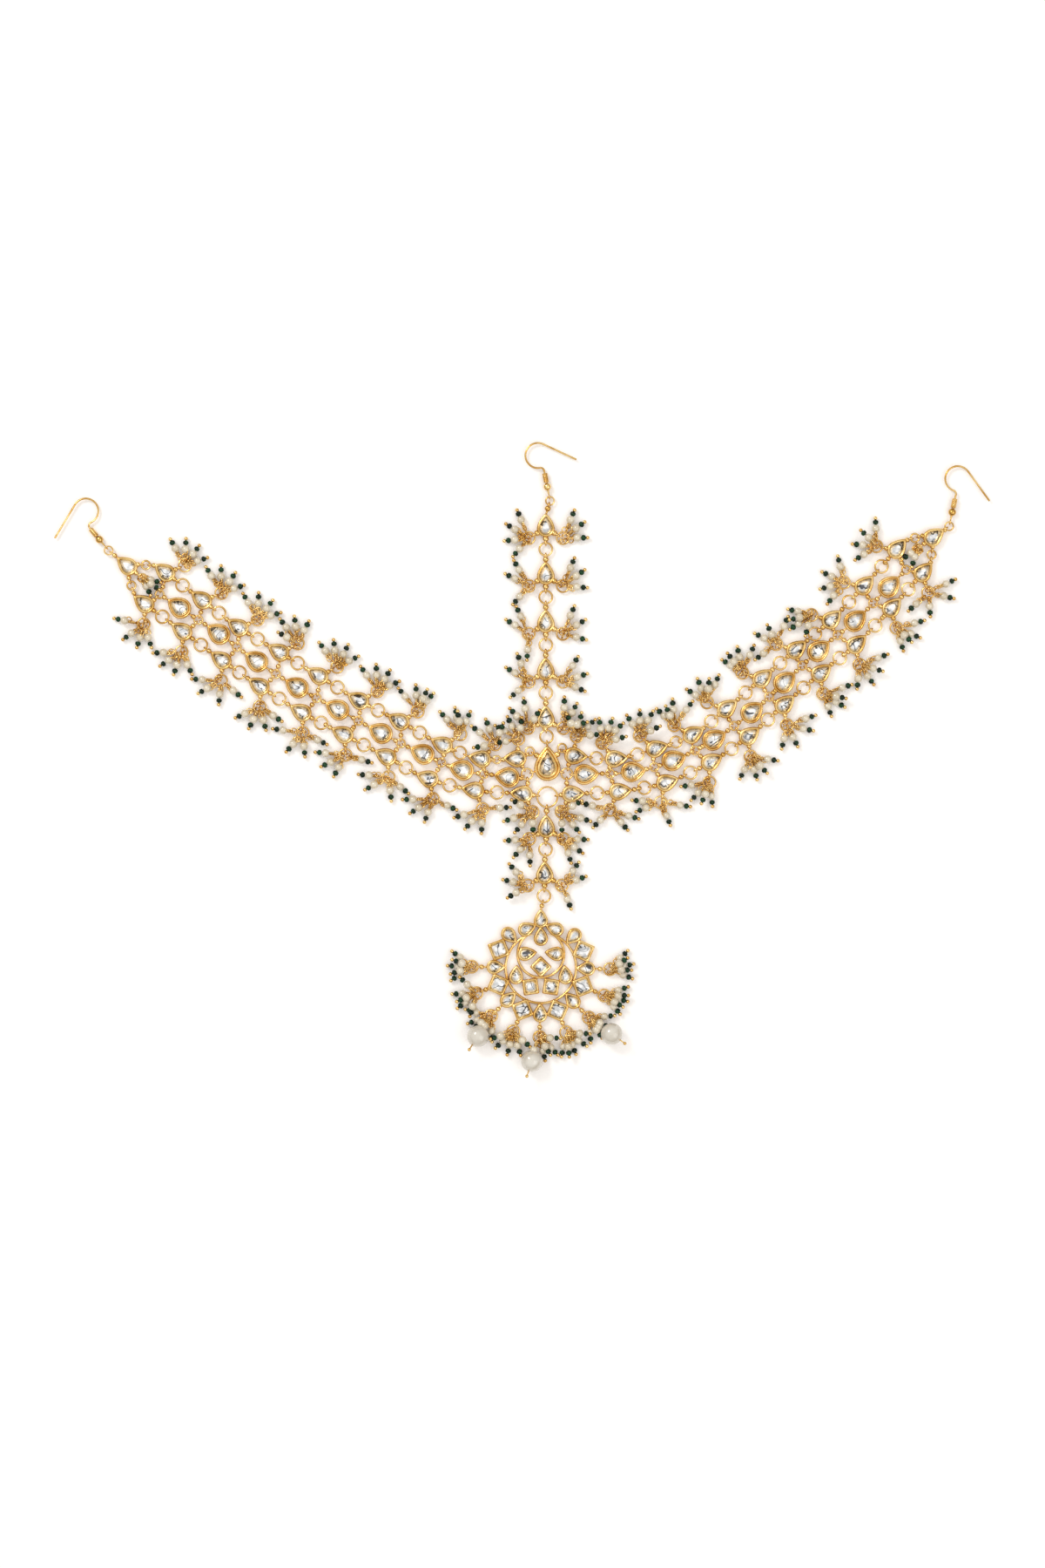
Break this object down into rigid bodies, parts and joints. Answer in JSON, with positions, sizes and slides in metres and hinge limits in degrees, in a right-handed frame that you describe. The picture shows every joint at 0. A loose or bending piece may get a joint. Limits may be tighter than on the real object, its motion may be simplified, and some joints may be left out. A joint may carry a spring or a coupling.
{
  "type": "matha patti",
  "caption": "Bridal head jewel: linked rows of pear settings, a parting chain, a crescent pendant, pearl clusters and three wire hooks.",
  "frame": {"origin": "middle of the outline, on the surface that the jewel lies on", "axes": "+X along the jewel to the wearer's left ear, +Y towards the hair hook, +Z off the head"},
  "size_m": [0.358, 0.2428, 0.0084],
  "materials": {
    "gold": "polished",
    "glass": "foil-backed cut glass",
    "pearl": "pearl lustre",
    "seed": "dark glass beads"
  },
  "bodies": {
    "root": {"left_hook": "gold", "left_hook_coil": "gold", "left_hook_bead": "gold", "left_hook_link": "gold", "top_hook": "gold", "top_hook_coil": "gold", "top_hook_bead": "gold", "top_hook_link": "gold", "right_hook": "gold", "right_hook_coil": "gold", "right_hook_bead": "gold", "right_hook_link": "gold", "left_end_setting": "gold", "left_end_stone": "glass", "left_end_cluster": "pearl", "right_end_setting": "gold", "right_end_stone": "glass", "right_end_cluster": "pearl", "left_upper_row": "gold", "left_middle_row": "gold", "left_lower_row": "gold", "right_upper_row": "gold", "right_middle_row": "gold", "right_lower_row": "gold", "left_arm_stones": "glass", "right_arm_stones": "glass", "left_upper_clusters": "pearl", "left_lower_clusters": "pearl", "right_upper_clusters": "pearl", "right_lower_clusters": "pearl", "parting_setting_1": "gold", "parting_setting_2": "gold", "parting_setting_3": "gold", "parting_setting_4": "gold", "parting_setting_5": "gold", "parting_stone_1": "glass", "parting_stone_2": "glass", "parting_stone_3": "glass", "parting_stone_4": "glass", "parting_stone_5": "glass", "lower_setting_1": "gold", "lower_setting_2": "gold", "lower_stone_1": "glass", "lower_stone_2": "glass", "middle_setting": "gold", "middle_stone": "glass", "middle_ring": "gold", "middle_links": "gold", "parting_clusters": "pearl", "pendant_plate": "gold", "pendant_stones": "glass", "pendant_clusters": "pearl", "left_pearl": "pearl", "middle_pearl": "pearl", "right_pearl": "pearl", "left_pearl_pin": "gold", "middle_pearl_pin": "gold", "right_pearl_pin": "gold"}
  },
  "joints": []
}
